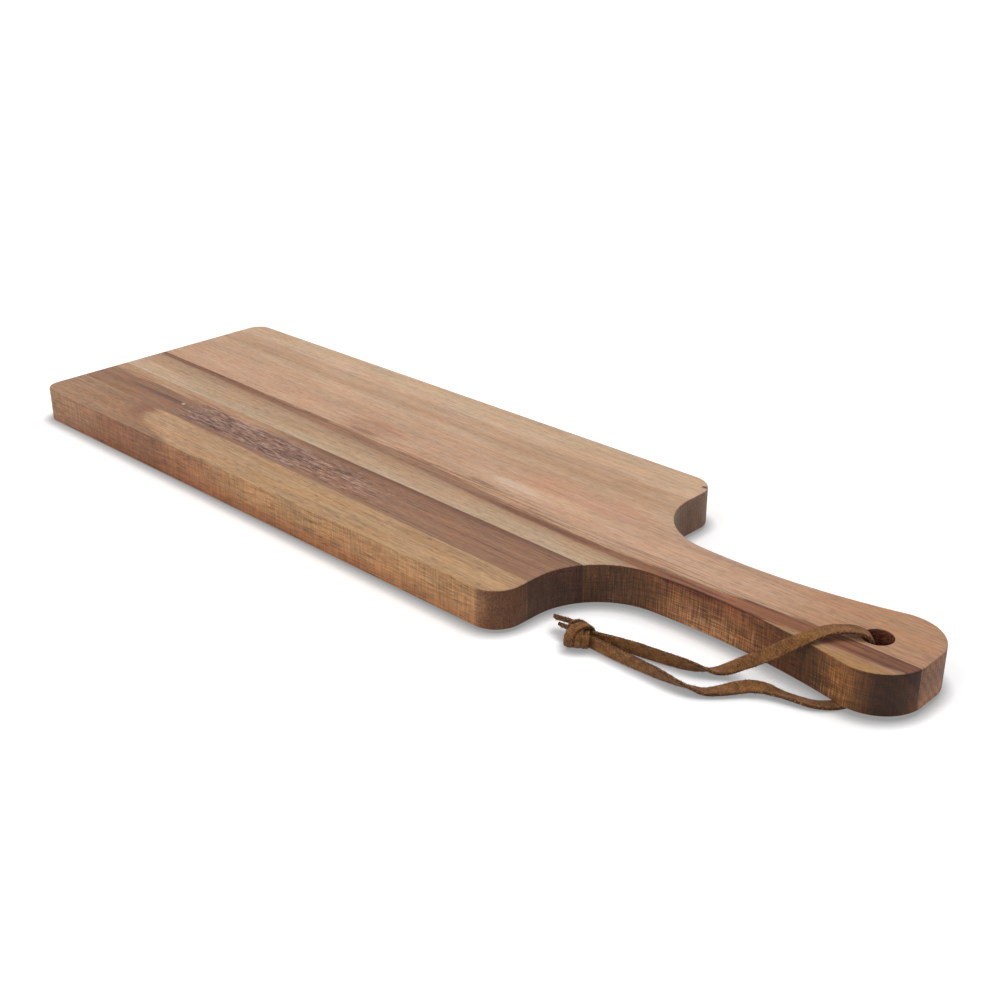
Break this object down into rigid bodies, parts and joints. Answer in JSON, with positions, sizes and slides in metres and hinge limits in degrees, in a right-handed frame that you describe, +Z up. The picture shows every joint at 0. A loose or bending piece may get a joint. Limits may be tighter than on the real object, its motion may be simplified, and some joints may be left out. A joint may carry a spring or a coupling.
{
  "type": "paddle charcuterie board",
  "caption": "Paddle-shaped serving board of glued hardwood staves, with a necked round handle and a knotted flat leather thong through its hanging hole.",
  "frame": {"origin": "Middle of the board's footprint, on the table that it lies on.", "axes": "+X runs along the board to the handle, +Y to the far side away from the thong, +Z up from the table."},
  "size_m": [0.5, 0.15, 0.025],
  "materials": {
    "tan_wood": "satin",
    "dark_wood": "satin",
    "pale_wood": "satin",
    "pink_wood": "satin",
    "glue": "matte",
    "thong": "matte"
  },
  "bodies": {
    "board": {"near_stave": "tan_wood", "dark_stave": "dark_wood", "pale_stave": "pale_wood", "wide_stave": "pink_wood", "glue_near": "glue", "glue_mid": "glue", "glue_far": "glue"},
    "thong": {"thong_upper": "thong", "thong_under": "thong", "thong_lower": "thong", "thong_knot": "thong", "tail_long": "thong", "tail_short": "thong"}
  },
  "joints": [
    {"name": "thong_swing", "type": "hinge", "parent": "board", "child": "thong", "pos_m": [0.2262, 0.0024, 0], "axis": [0, 0, 1], "range_deg": [0, 180]}
  ]
}
